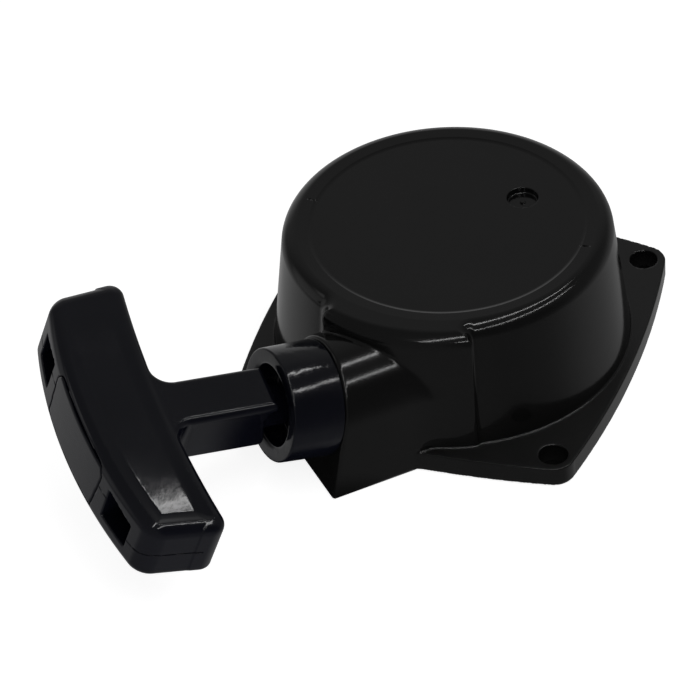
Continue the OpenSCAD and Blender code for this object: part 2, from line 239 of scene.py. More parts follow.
def flange_plan(x, y):
    """Square on its corner: bowed edges, corners rounded about the holes."""
    ax, ay = np.abs(x), np.abs(y)
    half_chord = HOLE_SQUARE / 2
    to_chord = math.sqrt((EDGE_R - CORNER_R) ** 2 - half_chord ** 2)
    centre = (HOLE_PCR * math.cos(math.pi / 4) - to_chord) * math.sqrt(0.5)
    edge = np.hypot(ax - centre, ay - centre) - EDGE_R
    # past the end of the arc the corner circle is nearer
    t = (ax - ay) * math.sqrt(0.5)
    reach = half_chord * (1 + edge / EDGE_R)
    tip = np.minimum(np.hypot(ax - HOLE_PCR, ay), np.hypot(ax, ay - HOLE_PCR)) - CORNER_R
    return np.where(np.abs(t) > reach, tip, edge)


def arch_field(y, z, inset):
    """Tunnel section: half round on two upright sides."""
    v = y + ROPE_OFFSET
    above = np.hypot(v, z - ARCH_AXIS_Z)
    return np.where(z > ARCH_AXIS_Z, above, np.abs(v)) - (ARCH_R - inset)


def drum_field(x, y, z, r):
    """The drafted drum with its thicker wall and rounded rim."""
    sector = drafted(r, z, SECTOR_TOP_R, SECTOR_BASE_R)
    sector = meet(sector, -turned(x, y, SECTOR_START), SECTOR_START_ROUND)
    sector = meet(sector, turned(x, y, SECTOR_END), SECTOR_END_ROUND)
    # the fillet beside the thicker wall is wide where that wall starts and tight where it ends
    drum = join(drafted(r, z, DRUM_TOP_R, DRUM_BASE_R), sector, 0.9 + 1.8 * ramp(-x, 20, 30))
    return meet(drum, z - DRUM_H, RIM_ROUND)


def hollow_field(x, y, z, r, s):
    """The space inside the drum and the tunnel in the outlet block."""
    lean = (DRUM_BASE_R - DRUM_TOP_R) * np.clip((z - WALL_Z0) / (CEILING_Z - WALL_Z0), 0, 1)
    hollow_side = r - (DRUM_BASE_R - WALL) + lean
    hollow = meet(hollow_side, z - CEILING_Z, 0.8)
    tunnel = np.maximum(arch_field(y, z, WALL), s - OUTLET_S + OUTLET_FACE_T)
    tunnel = np.maximum(tunnel, x - BLOCK_BACK_X)
    return join(hollow, tunnel, 0.6)


def inner_walls(x, y, z, r):
    """What stands on the ceiling: the post with its bore, and the spring's ring wall with its ribs."""
    past_ceiling = z - CEILING_Z - 1
    post = meet(r - POST_R, POST_Z0 - z, 0.3)
    post = np.maximum(cut(post, np.maximum(r - INSERT_R, z - INSERT_Z1), 0.2), past_ceiling)
    ring = np.abs(r - RING_WALL_R - RING_WALL_T / 2) - RING_WALL_T / 2
    ring = np.maximum(meet(ring, RING_WALL_Z0 - z, 0.3), past_ceiling)
    turn = np.mod(np.arctan2(y, x) - RIB_START + RIB_PITCH / 2, RIB_PITCH) - RIB_PITCH / 2
    rib = np.maximum(slab(r, RING_WALL_R + 0.5, RING_WALL_R + 4.5), np.abs(r * np.sin(turn)) - RIB_HALF_T)
    rib = np.maximum(meet(rib, RING_WALL_Z0 + 2 - z, 0.3), past_ceiling)
    return np.minimum(join(ring, rib, 0.5), post)


def cut_top(shell, x, y, z, r):
    """Takes the shape of the top face out of the shell: its low middle, the moulding recess and two ticks."""
    gate_r = np.hypot(x - GATE_X, y)
    shell = np.maximum(shell, z - top_height(r))
    gate = meet(gate_r - GATE_R, TOP_Z - GATE_DEPTH - z, 0.35)
    nub = meet(gate_r - GATE_NUB_R, z - TOP_Z + GATE_DEPTH - 0.35, 0.15)
    shell = cut(shell, np.maximum(gate, -nub), 0.15)
    # a tick on each side of the step round the middle
    across = np.abs(x * math.sin(TICK_ANGLE) - y * math.cos(TICK_ANGLE))
    tick = np.maximum(across - LINE_HALF_W, slab(r, RING_LINE_R, RING_LINE_R + TICK_LEN))
    return np.maximum(shell, -np.maximum(tick, top_height(r) - 0.2 - z))


def housing_field(p):
    x, y, z = p[:, 0], p[:, 1], p[:, 2]
    r = np.hypot(x, y)
    s = along(p, ROPE_O, ROPE_U)
    flange = meet(flange_plan(x, y), z - FLANGE_T, 0.3)
    drum = join(drum_field(x, y, z, r), flange, 0.45)

    block = meet(arch_field(y, z, 0.0), s - OUTLET_S, 0.5)
    block = np.maximum(block, x - BLOCK_BACK_X)
    # a tight fillet under the crown, a soft blend where the upright side runs into the wall
    soft = (1 - ramp(z, 17, 22)) * ramp(z, FLANGE_T, FLANGE_T + 3)
    shell = join(drum, block, 0.5) * (1 - soft) + melt(drum, block, 2.6) * soft

    shell = cut(shell, hollow_field(x, y, z, r, s), 0.3)
    shell = join(shell, inner_walls(x, y, z, r), 0.7)
    shell = meet(shell, -z, 0.35)
    ax, ay = np.abs(x), np.abs(y)
    hole = np.minimum(np.hypot(ax - HOLE_PCR, y), np.hypot(x, ay - HOLE_PCR)) - HOLE_R
    shell = cut(shell, hole, 0.35)
    rope_r = np.linalg.norm(p - ROPE_O - s[:, None] * ROPE_U, axis=1)
    shell = cut(shell, np.maximum(rope_r - SPIGOT_R, OUTLET_S - ROPE_HOLE_LEN - s), 0.2)
    return cut_top(shell, x, y, z, r)


def housing_wanted(p):
    """Finest round the ring step and the moulding recess, fine along the rounded rim."""
    r = np.hypot(p[:, 0], p[:, 1])
    top = p[:, 2] > DRUM_H - 2.0
    near_line = np.maximum(np.abs(r - RING_LINE_R) - RING_HALF_W, 0) / 0.4
    near_gate = np.maximum(np.hypot(p[:, 0] - GATE_X, p[:, 1]) - GATE_R, 0) / 0.4
    fine = np.where(top, 0.15 + 0.15 * np.minimum(near_line, near_gate), 9)
    rim = (r > DRUM_TOP_R - RIM_ROUND - 1.0) & (p[:, 2] > WALL_Z1 - 0.5)
    fine = np.minimum(fine, np.where(rim, 0.35, 9))
    return np.minimum(fine, 1.2)


def bar_plan(s, b, edge):
    """Plan of the grip bar: bowed front, slightly hollow back, ends leaning in."""
    lean = END_TAPER / (GRIP_FRONT - GRIP_BACK)
    end = (np.abs(b) - GRIP_HALF_LEN + lean * (s - GRIP_BACK)) / math.hypot(1, lean)
    front = np.hypot(s - GRIP_FRONT + BOW_R, b) - BOW_R
    back = BACK_R - np.hypot(s - GRIP_BACK - BACK_HOLLOW + BACK_R, b)
    plan = meet(front, end, edge + 1.6)
    return meet(plan, back, edge + 1.9)


def grip_bar(s, b, n, plan):
    """The bowed bar, its top face dished inside a border with a floor that falls towards the near end."""
    bar = meet(plan, n - GRIP_HALF_T, 2.8)
    bar = meet(bar, -GRIP_HALF_T - n, 2.0)
    inside = ramp(-plan, DISH_BORDER - 1.6, DISH_BORDER + 2.2) * ramp(b, -24, -10)
    fall = np.logaddexp(0, b - 12)
    depth = DISH_DEPTH + DISH_CURVE * fall * fall + DISH_TILT * (s - 82) * ramp(b, 8, 20)
    return np.maximum(bar, n - GRIP_HALF_T + depth * inside)


def grip_stem(s, b, n, plan):
    """The stem with its recessed sides, flared into the bar, and the nose that sits in the guide's cup."""
    stem = meet(join(np.abs(b) - STEM_HALF_W, plan, FLARE_R), STEM_END - s, 0.5)
    stem = np.maximum(stem, s - GRIP_BACK - 4)
    stem = meet(stem, np.abs(n) - STEM_HALF_H, 1.3)
    waist = STEM_WAIST * ramp(4.0 - n, 0, 2.6) * (1 - ramp(1.4 - n, 0, 8))
    stem = meet(stem, STEM_END + waist - s, 0.3)
    pocket = meet(n - STEM_HALF_H + STEM_POCKET_RIB, s - STEM_POCKET_S, 1.2)
    pocket = meet(pocket, STEM_HALF_W - STEM_POCKET_DEPTH - np.abs(b), 0.3)
    stem = cut(stem, pocket, 0.35)
    nose = np.hypot(b, n) - NOSE_R
    nose = np.maximum(meet(nose, (OUTLET_S + GUIDE_LEN - CUP_DEPTH + 0.3) - s, 0.6), s - STEM_END - 2)
    return join(stem, nose, 0.3)


def end_line(s, n):
    """Height above or below the moulding line that runs round each end of the bar."""
    return np.abs(n - END_LINE_N + END_LINE_RISE * np.maximum(s - END_LINE_S, 0))


def grip_field(q):
    """The pull handle in its own frame: s along the rope, b along the bar, n up."""
    s, b, n = q[:, 0], q[:, 1], q[:, 2]
    ab = np.abs(b)
    plan = bar_plan(s, b, 1.5)
    body = join(grip_bar(s, b, n, plan), grip_stem(s, b, n, plan), 0.5)

    bore = np.maximum(np.hypot(b, n) - GRIP_BORE_R, s - CHAMBER_S0 - 1)
    body = cut(body, bore, 0.25)
    chamber = np.maximum(np.maximum(ab - CHAMBER_HALF_B, np.abs(n) - CHAMBER_HALF_N), CHAMBER_S0 - s)
    body = cut(body, chamber, 0.2)
    seat_front = np.hypot(s - GRIP_FRONT + COVER_T + 0.1 + BOW_R, b) - BOW_R
    seat = np.maximum(np.maximum(cover_outline(b, n, 0.0), -seat_front), GRIP_BACK + 8 - s)
    body = cut(body, seat, 0.25)
    dent = box_field(ab - DENT_B, n - DENT_N, DENT_HALF, DENT_HALF, 0.4)
    dent = meet(dent, n - DENT_HALF + DENT_SLOPE * (ab - 16), 0.3)
    body = cut(body, np.maximum(dent, GRIP_BACK + DENT_BACK - s), 0.3)
    # fine moulding lines: round each end from the pocket, and from the cover to the pocket
    groove = np.maximum(end_line(s, n) - LINE_HALF_W, -plan - 0.25)
    groove = np.maximum(groove, np.maximum(GRIP_BACK + 2.5 - s, END_LINE_B - ab))
    seam = np.maximum(np.abs(n - SEAM_N) - LINE_HALF_W, np.maximum(slab(ab, 12.5, 16.5), -plan - 0.2))
    return np.maximum(body, -np.minimum(groove, seam))


def grip_wanted(q):
    """Finest along the thin moulding lines of the handle."""
    s, b, n = q[:, 0], q[:, 1], q[:, 2]
    ends = (end_line(s, n) < 0.5) & (np.abs(b) > END_LINE_B)
    seams = (np.abs(n - SEAM_N) < 0.5) & (np.abs(np.abs(b) - 14.3) < 2.2) & (s > 90)
    return np.where(ends | seams, 0.12, 9.0)


def cover_outline(b, n, gap):
    """Outline of the cover panel, its near top corner cut off."""
    mid = (COVER_N0 + COVER_N1) / 2
    half = (COVER_N1 - COVER_N0) / 2
    panel = box_field(b, n - mid, COVER_HALF_W - gap, half - gap, 0.5)
    side = (np.abs(b) - 12.4 + gap - 0.09 * n) / math.hypot(1, 0.09)
    corner = (np.abs(b) + 0.8 * n - 16.1 + gap) / math.hypot(1, 0.8)
    return meet(meet(panel, side, 0.3), corner, 0.5)


def cover_field(q):
    s, b, n = q[:, 0], q[:, 1], q[:, 2]
    front = np.hypot(s - GRIP_FRONT + BOW_R, b) - BOW_R
    back = BOW_R - np.hypot(s - GRIP_FRONT + COVER_T + BOW_R, b)
    outline = np.maximum(cover_outline(b, n, 0.15), n - COVER_N1 + 0.55)
    panel = meet(outline, front, 0.35)
    return np.maximum(np.maximum(panel, back), GRIP_BACK + 8 - s)


# ---------------------------------------------------------------------------------------------------------
# Meshing a field
# ---------------------------------------------------------------------------------------------------------
def gradient(field, p, h=0.02):
    g = np.empty_like(p)
    for k in range(3):
        step = np.zeros(3)
        step[k] = h
        g[:, k] = (field(p + step) - field(p - step)) / (2 * h)
    return g


def to_surface(field, p, passes=3):
    """Moves points onto the surface along the field's gradient."""
    for _ in range(passes):
        g = gradient(field, p)
        size = np.maximum((g * g).sum(1), 0.3)
        move = -(field(p) / size)[:, None] * g
        p = p + np.clip(move, -0.5, 0.5)
    return p


def surface_net(field, low, high, step):
    """Quads of the field's zero surface, one vertex in each cell that it crosses."""
    axes = [np.arange(low[k], high[k] + step, step) for k in range(3)]
    count = [len(a) for a in axes]
    value = np.empty(count, np.float32)
    for i, x in enumerate(axes[0]):
        yy, zz = np.meshgrid(axes[1], axes[2], indexing="ij")
        p = np.stack([np.full(yy.size, x), yy.ravel(), zz.ravel()], 1)
        value[i] = field(p).reshape(yy.shape)
    inside = value < 0
    corners = [(i, j, k) for i in (0, 1) for j in (0, 1) for k in (0, 1)]
    cells = tuple(c - 1 for c in count)

    def part(a, o):
        return a[o[0]:o[0] + cells[0], o[1]:o[1] + cells[1], o[2]:o[2] + cells[2]]

    total = sum(part(inside, o).astype(np.int8) for o in corners)
    active = np.argwhere((total > 0) & (total < 8))
    number = np.full(cells, -1, np.int64)
    number[tuple(active.T)] = np.arange(len(active))
    place = np.zeros((len(active), 3))
    hits = np.zeros(len(active))
    for a in corners:
        for k in range(3):
            if a[k] == 1:
                continue
            b = list(a)
            b[k] = 1
            va = value[tuple((active + a).T)]
            vb = value[tuple((active + b).T)]
            crossed = (va < 0) != (vb < 0)
            t = np.where(crossed, va / np.where(crossed, va - vb, 1), 0)
            at = np.array(a, float) + t[:, None] * np.eye(3)[k]
            place += np.where(crossed[:, None], at, 0)
            hits += crossed
    points = (active + place / hits[:, None]) * step + np.array([a[0] for a in axes])
    quads = []
    for k in range(3):
        i, j = (k + 1) % 3, (k + 2) % 3
        ahead = [slice(None)] * 3
        ahead[k] = slice(1, None)
        here = [slice(None)] * 3
        here[k] = slice(None, -1)
        flips = inside[tuple(here)] != inside[tuple(ahead)]
        edge = np.argwhere(flips)
        edge = edge[(edge[:, i] > 0) & (edge[:, j] > 0) & (edge[:, i] < cells[i]) & (edge[:, j] < cells[j])]
        starts_in = inside[tuple(edge.T)]
        ring = []
        for di, dj in ((1, 1), (0, 1), (0, 0), (1, 0)):
            c = edge.copy()
            c[:, i] -= di
            c[:, j] -= dj
            ring.append(number[tuple(c.T)])
        ring = np.stack(ring, 1)
        ring[~starts_in] = ring[~starts_in][:, ::-1]
        quads.append(ring)
    return points, np.concatenate(quads)


def split_quads(points, quads):
    """Two triangles a quad, along its shorter diagonal."""
    d0 = ((points[quads[:, 0]] - points[quads[:, 2]]) ** 2).sum(1)
    d1 = ((points[quads[:, 1]] - points[quads[:, 3]]) ** 2).sum(1)
    first = np.where((d0 <= d1)[:, None], quads[:, [0, 1, 2]], quads[:, [0, 1, 3]])
    second = np.where((d0 <= d1)[:, None], quads[:, [0, 2, 3]], quads[:, [1, 2, 3]])
    return np.concatenate([first, second])


def refine(points, tris, wanted):
    """Halves every edge that is longer than the wanted length at its middle. No gaps are left."""
    pairs = np.sort(np.concatenate([tris[:, [0, 1]], tris[:, [1, 2]], tris[:, [2, 0]]]), axis=1)
    key = pairs[:, 0] * np.int64(len(points)) + pairs[:, 1]
    unique, back = np.unique(key, return_inverse=True)
    ends = np.stack([unique // len(points), unique % len(points)], 1)
    middle = (points[ends[:, 0]] + points[ends[:, 1]]) / 2
    length = np.linalg.norm(points[ends[:, 0]] - points[ends[:, 1]], axis=1)
    chosen = length > wanted(middle)
    new_id = np.full(len(unique), -1, np.int64)
    new_id[chosen] = len(points) + np.arange(chosen.sum())
    points = np.concatenate([points, middle[chosen]])
    m = new_id[back].reshape(3, -1).T
    marks = (m >= 0).sum(1)
    out = [tris[marks == 0]]
    for turn in range(3):
        order = [(turn + k) % 3 for k in range(3)]
        t = tris[:, order]
        e = m[:, order]
        one = (marks == 1) & (e[:, 0] >= 0)
        out.append(np.stack([t[one, 0], e[one, 0], t[one, 2]], 1))
        out.append(np.stack([e[one, 0], t[one, 1], t[one, 2]], 1))
        two = (marks == 2) & (e[:, 0] >= 0) & (e[:, 1] >= 0)
        out.append(np.stack([e[two, 0], t[two, 1], e[two, 1]], 1))
        out.append(np.stack([t[two, 0], e[two, 0], e[two, 1]], 1))
        out.append(np.stack([t[two, 0], e[two, 1], t[two, 2]], 1))
    three = marks == 3
    t, e = tris[three], m[three]
    out.append(np.stack([t[:, 0], e[:, 0], e[:, 2]], 1))
    out.append(np.stack([e[:, 0], t[:, 1], e[:, 1]], 1))
    out.append(np.stack([e[:, 2], e[:, 1], t[:, 2]], 1))
    out.append(np.stack([e[:, 0], e[:, 1], e[:, 2]], 1))
    return points, np.concatenate(out)


def mesh_object(name, points, tris, normals):
    """A Blender object from arrays in millimetres, smooth, with its own normals."""
    mesh = bpy.data.meshes.new(name)
    mesh.vertices.add(len(points))
    mesh.vertices.foreach_set("co", (points * MM).astype(np.float32).ravel())
    mesh.loops.add(tris.size)
    mesh.loops.foreach_set("vertex_index", tris.astype(np.int32).ravel())
    mesh.polygons.add(len(tris))
    mesh.polygons.foreach_set("loop_start", np.arange(0, tris.size, 3, dtype=np.int32))
    mesh.polygons.foreach_set("loop_total", np.full(len(tris), 3, np.int32))
    mesh.polygons.foreach_set("use_smooth", np.ones(len(tris), bool))
    mesh.update(calc_edges=True)
    mesh.validate()
    if normals is not None:
        mesh.normals_split_custom_set_from_vertices(normals.astype(np.float32))
    obj = bpy.data.objects.new(name, mesh)
    bpy.context.scene.collection.objects.link(obj)
    return obj


def field_object(name, field, low, high, step, wanted=None, passes=0, place=None):
    """A smooth object on a field's surface. place turns the field's own frame into the CAD frame."""
    points, quads = surface_net(field, low, high, step)
    points = to_surface(field, points)
    tris = split_quads(points, quads)
    for _ in range(passes):
        points, tris = refine(points, tris, wanted)
        points = to_surface(field, points)
    g = gradient(field, points, 0.04)
    normals = g / np.maximum(np.linalg.norm(g, axis=1), 1e-6)[:, None]
    if place is not None:
        points, normals = place(points, normals)
    return mesh_object(name, points, tris, normals)


def from_grip(points, normals):
    turn = np.stack([ROPE_U, GRIP_B, GRIP_N])
    return ROPE_O + points @ turn, normals @ turn


# ---------------------------------------------------------------------------------------------------------
# Node helpers
# ---------------------------------------------------------------------------------------------------------
def new_material(name):
    material = bpy.data.materials.new(name)
    material.use_nodes = True
    tree = material.node_tree
    return material, tree, tree.nodes["Principled BSDF"]


def map_range(tree, value, from_min, from_max, to_min, to_max, smooth=False):
    """Maps a value from one range to another."""
    node = tree.nodes.new("ShaderNodeMapRange")
    if smooth:
        node.interpolation_type = "SMOOTHSTEP"
    node.inputs["From Min"].default_value = from_min
    node.inputs["From Max"].default_value = from_max
    node.inputs["To Min"].default_value = to_min
    node.inputs["To Max"].default_value = to_max
    tree.links.new(value, node.inputs["Value"])
    return node.outputs["Result"]


def math_node(tree, operation, *values):
    """A Math node whose inputs are outputs of other nodes or plain numbers."""
    node = tree.nodes.new("ShaderNodeMath")
    node.operation = operation
    for socket, value in zip(node.inputs, values):
        if isinstance(value, float):
            socket.default_value = value
        else:
            tree.links.new(value, socket)
    return node.outputs["Value"]


def noise(tree, coords, scale, detail):
    """Noise over the object's own coordinates."""
    node = tree.nodes.new("ShaderNodeTexNoise")
    node.inputs["Scale"].default_value = scale
    node.inputs["Detail"].default_value = detail
    tree.links.new(coords.outputs["Object"], node.inputs["Vector"])
    return node.outputs["Fac"]


def mixed_colour(tree, factor, dark, light):
    node = tree.nodes.new("ShaderNodeMix")
    node.data_type = "RGBA"
    node.inputs["A"].default_value = (*dark, 1)
    node.inputs["B"].default_value = (*light, 1)
    tree.links.new(factor, node.inputs["Factor"])
    return node.outputs["Result"]


def bump(tree, height, strength, distance, normal=None):
    """A bump, laid over another one if its normal is given."""
    node = tree.nodes.new("ShaderNodeBump")
    node.inputs["Strength"].default_value = strength
    node.inputs["Distance"].default_value = distance
    tree.links.new(height, node.inputs["Height"])
    if normal is not None:
        tree.links.new(normal, node.inputs["Normal"])
    return node.outputs["Normal"]


def z_part(tree, vector):
    node = tree.nodes.new("ShaderNodeSeparateXYZ")
    tree.links.new(vector, node.inputs["Vector"])
    return node.outputs["Z"]


# ---------------------------------------------------------------------------------------------------------
# Camera and stage
# ---------------------------------------------------------------------------------------------------------
CAMERA_AT = Vector((-0.280172, -0.610865, 0.574598))
CAMERA_RIGHT = Vector((0.90127059, -0.42968466, -0.05551951))
CAMERA_UP = Vector((0.31818685, 0.56946976, 0.75793226))
CAMERA_LENS = 213.98

# Glows in the surroundings: azimuth, elevation, where the glow starts and where it is full, strength
WORLD_GLOWS = (
    (72, -4, 34, 15, 0.3), (70, 30, 50, 12, 0.08), (146, 6, 26, 10, 0.22), (147, 36, 9, 4, 0.4),
    (20, -42, 60, 25, 0.12), (110, -40, 45, 15, 0.18), (285, 12, 50, 15, -0.08),
)
WORLD_BASE = 0.12
WORLD_LEAST = 0.01


def add_camera():
    data = bpy.data.cameras.new("camera")
    data.lens = CAMERA_LENS
    data.sensor_width = 36
    data.clip_start = 0.01
    camera = bpy.data.objects.new("camera", data)
    back = CAMERA_RIGHT.cross(CAMERA_UP)
    turn = Matrix((CAMERA_RIGHT, CAMERA_UP, back)).transposed().to_4x4()
    camera.matrix_world = Matrix.Translation(CAMERA_AT) @ turn
    bpy.context.scene.collection.objects.link(camera)
    bpy.context.scene.camera = camera


def add_tube(name, at, direction, length, width, power):
    """A long narrow area light that looks at the object."""
    data = bpy.data.lights.new(name, "AREA")
    data.shape = "RECTANGLE"
    data.size = length
    data.size_y = width
    data.energy = power
    light = bpy.data.objects.new(name, data)
    back = (at - Vector((0, 0, 0.02))).normalized()
    side = back.cross(direction).normalized()
    light.matrix_world = Matrix.Translation(at) @ Matrix((direction, side, back)).transposed().to_4x4()
    bpy.context.scene.collection.objects.link(light)


def add_world():
    """Dim surroundings with a pale backdrop low behind the object."""
    world = bpy.data.worlds.new("studio")
    bpy.context.scene.world = world
    world.use_nodes = True
    tree = world.node_tree
    background = tree.nodes["Background"]
    background.inputs["Color"].default_value = (1, 1, 1, 1)
    coords = tree.nodes.new("ShaderNodeTexCoord")

    def toward(azimuth, elevation, start, full, strength):
        """Brightness that grows as the direction comes near to a given one."""
        a, e = math.radians(azimuth), math.radians(elevation)
        dot = tree.nodes.new("ShaderNodeVectorMath")
        dot.operation = "DOT_PRODUCT"
        dot.inputs[1].default_value = (math.cos(e) * math.cos(a), math.cos(e) * math.sin(a), math.sin(e))
        tree.links.new(coords.outputs["Generated"], dot.inputs[0])
        edges = math.cos(math.radians(start)), math.cos(math.radians(full))
        return map_range(tree, dot.outputs["Value"], *edges, 0, strength, smooth=True)

    total = toward(*WORLD_GLOWS[0])
    for place in WORLD_GLOWS[1:]:
        total = math_node(tree, "ADD", total, toward(*place))
    total = math_node(tree, "ADD", total, WORLD_BASE)
    total = math_node(tree, "MAXIMUM", total, WORLD_LEAST)
    tree.links.new(total, background.inputs["Strength"])


def add_floor():
    mesh = bpy.data.meshes.new("floor")
    half = 3.0
    corners = [(-half, -half, 0), (half, -half, 0), (half, half, 0), (-half, half, 0)]
    mesh.from_pydata(corners, [], [(0, 1, 2, 3)])
    floor = bpy.data.objects.new("floor", mesh)
    floor.location.z = -0.0002
    bpy.context.scene.collection.objects.link(floor)
    material = bpy.data.materials.new("pale_floor")
    material.use_nodes = True
    shader = material.node_tree.nodes["Principled BSDF"]
    shader.inputs["Base Color"].default_value = (0.7, 0.7, 0.7, 1)
    shader.inputs["Emission Color"].default_value = (1, 1, 1, 1)
    shader.inputs["Emission Strength"].default_value = 0.85
    shader.inputs["Roughness"].default_value = 0.9
    shader.inputs["Specular IOR Level"].default_value = 0.0
    mesh.materials.append(material)
    floor.visible_glossy = False


def add_painted_shade(name, centre, radius, fade, camera):
    """Painted shade on the floor close under the object: a dark sheet, dark at its centre, clear at its edge.
    """
    mesh = bpy.data.meshes.new(name)
    rim = [(centre[0] + fade * math.cos(math.tau * k / 64), centre[1] + fade * math.sin(math.tau * k / 64), 0)
           for k in range(64)]
    mesh.from_pydata([tuple(c * MM for c in v) for v in rim], [], [tuple(range(64))])
    shade = bpy.data.objects.new(name, mesh)
    shade.location.z = -0.0001
    bpy.context.scene.collection.objects.link(shade)
    material, tree, shader = new_material(name)
    coords = tree.nodes.new("ShaderNodeTexCoord")
    offset = tree.nodes.new("ShaderNodeVectorMath")
    offset.operation = "DISTANCE"
    offset.inputs[1].default_value = (centre[0] * MM, centre[1] * MM, 0)
    tree.links.new(coords.outputs["Object"], offset.inputs[0])
    alpha = map_range(tree, offset.outputs["Value"], radius * MM, fade * MM, 1, 0, smooth=True)
    tree.links.new(alpha, shader.inputs["Alpha"])
    # near-black colour: painted shade where the floor would lie in shadow
    shader.inputs["Base Color"].default_value = (0.01, 0.01, 0.01, 1)
    shader.inputs["Roughness"].default_value = 0.9
    shader.inputs["Specular IOR Level"].default_value = 0
    mesh.materials.append(material)
    shade.visible_diffuse = False
    shade.visible_shadow = False
    shade.visible_camera = camera


def add_painted_shades():
    """Painted shade that only the gloss sees under the guide, and that the camera sees in the screw holes."""
    add_painted_shade("guide_painted_shade", (-45, -20), 12, 21, False)
    for k in range(4):
        turn = math.pi / 2 * k
        add_painted_shade(f"hole_painted_shade_{k}", (HOLE_PCR * math.cos(turn), HOLE_PCR * math.sin(turn)), 3.6, 4.2, True)


# Two long overhead tubes beside each other, as in a light tent
TUBE_HEIGHT = 1.0
TUBE_AZIMUTH = math.radians(35)
TUBE_OFFSETS = (0.265, 0.89)
TUBE_REACH = (-1.3, 0.75)
TUBE_WIDTH = 0.03
TUBE_POWER = 3.0


def add_tubes():
    across = Vector((math.sin(TUBE_AZIMUTH), -math.cos(TUBE_AZIMUTH), 0))
    along_tube = Vector((math.cos(TUBE_AZIMUTH), math.sin(TUBE_AZIMUTH), 0))
    for k, offset in enumerate(TUBE_OFFSETS):
        at = across * offset * TUBE_HEIGHT + along_tube * sum(TUBE_REACH) / 2 + Vector((0, 0, TUBE_HEIGHT))
        add_tube(f"tube_{k}", at, along_tube, TUBE_REACH[1] - TUBE_REACH[0], TUBE_WIDTH, TUBE_POWER)


# ---------------------------------------------------------------------------------------------------------
# Materials
# ---------------------------------------------------------------------------------------------------------
def moulded_plastic(name, dark, light, rough, specular, grain, wave=0.00004, mark_scale=60.0, matt_below=None):
    """Moulded plastic: slight mottling, fine grain, uneven gloss and a faint waviness of the surface."""
    material, tree, shader = new_material(name)
    coords = tree.nodes.new("ShaderNodeTexCoord")
    mottle = noise(tree, coords, mark_scale, 5)
    tree.links.new(mixed_colour(tree, mottle, dark, light), shader.inputs["Base Color"])
    roughness = map_range(tree, mottle, 0.3, 0.7, rough * 0.88, rough * 1.12)
    if matt_below is not None:
        # the upper face of the flange came out of the mould matter than the drum
        height = z_part(tree, coords.outputs["Object"])
        matt = map_range(tree, height, (matt_below + 0.6) * MM, matt_below * MM, 0, 0.28)
        upward = map_range(tree, z_part(tree, coords.outputs["Normal"]), 0.8, 0.95, 0, 1)
        roughness = math_node(tree, "MULTIPLY_ADD", matt, upward, roughness)
    tree.links.new(roughness, shader.inputs["Roughness"])
    fine = bump(tree, noise(tree, coords, 2500, 2), grain, 0.00003)
    tree.links.new(bump(tree, noise(tree, coords, 220, 3), 0.5, wave, fine), shader.inputs["Normal"])
    shader.inputs["Specular IOR Level"].default_value = specular
    return material


def worked_metal(name, dark, light, rough, scale=400.0):
    """Plated or drawn metal with fine uneven sheen."""
    material, tree, shader = new_material(name)
    coords = tree.nodes.new("ShaderNodeTexCoord")
    sheen = noise(tree, coords, scale, 6)
    tree.links.new(mixed_colour(tree, sheen, dark, light), shader.inputs["Base Color"])
    tree.links.new(map_range(tree, sheen, 0, 1, rough * 0.7, rough * 1.3), shader.inputs["Roughness"])
    tree.links.new(bump(tree, sheen, 0.3, 0.00003), shader.inputs["Normal"])
    shader.inputs["Metallic"].default_value = 1
    return material


def set_material(obj, material):
    if obj.material_slots:
        for slot in obj.material_slots:
            slot.material = material
    else:
        obj.data.materials.append(material)


# ---------------------------------------------------------------------------------------------------------
# Lathe and rope pieces
# ---------------------------------------------------------------------------------------------------------
def rounded(profile, per_corner=6):
    """A closed outline whose corners (s, r, radius) are rounded."""
    out = []
    n = len(profile)
    for i, (s, r, radius) in enumerate(profile):
        p = np.array([s, r], float)
        if radius <= 0:
            out.append(p)
            continue
        a = np.array(profile[i - 1][:2], float) - p
        b = np.array(profile[(i + 1) % n][:2], float) - p
        ua, ub = a / np.linalg.norm(a), b / np.linalg.norm(b)
        half = math.acos(float(np.clip(ua @ ub, -1, 1))) / 2
        back = radius / math.tan(half)
        centre = p + (ua + ub) / np.linalg.norm(ua + ub) * radius / math.sin(half)
        start = p + ua * back - centre
        stop = p + ub * back - centre
        a0 = math.atan2(start[1], start[0])
        turn = (math.atan2(stop[1], stop[0]) - a0 + math.pi) % (2 * math.pi) - math.pi
        for k in range(per_corner + 1):
            t = a0 + turn * k / per_corner
            out.append(centre + radius * np.array([math.cos(t), math.sin(t)]))
    return np.array(out)


def facing_out(points, tris):
    """The triangles of a closed surface, turned round if they face inward."""
    volume = np.einsum("ij,ij->i", points[tris[:, 0]], np.cross(points[tris[:, 1]], points[tris[:, 2]])).sum()
    return tris[:, ::-1] if volume < 0 else tris


def lathe(name, outline, steps, origin, axis, side, up):
    """A closed outline in (along the axis, radius) turned into a ring."""
    n = len(outline)
    points = []
    for k in range(steps):
        t = 2 * math.pi * k / steps
        ray = side * math.cos(t) + up * math.sin(t)
        points.append(origin + outline[:, :1] * axis + outline[:, 1:] * ray)
    points = np.concatenate(points)
    i, k = np.meshgrid(np.arange(n), np.arange(steps), indexing="ij")
    i1, k1 = (i + 1) % n, (k + 1) % steps
    a, b, c, d = (k * n + i).ravel(), (k * n + i1).ravel(), (k1 * n + i1).ravel(), (k1 * n + i).ravel()
    tris = np.concatenate([np.stack([a, b, c], 1), np.stack([a, c, d], 1)])
    obj = mesh_object(name, points, facing_out(points, tris), None)
    obj.data.set_sharp_from_angle(angle=math.radians(40))
    return obj


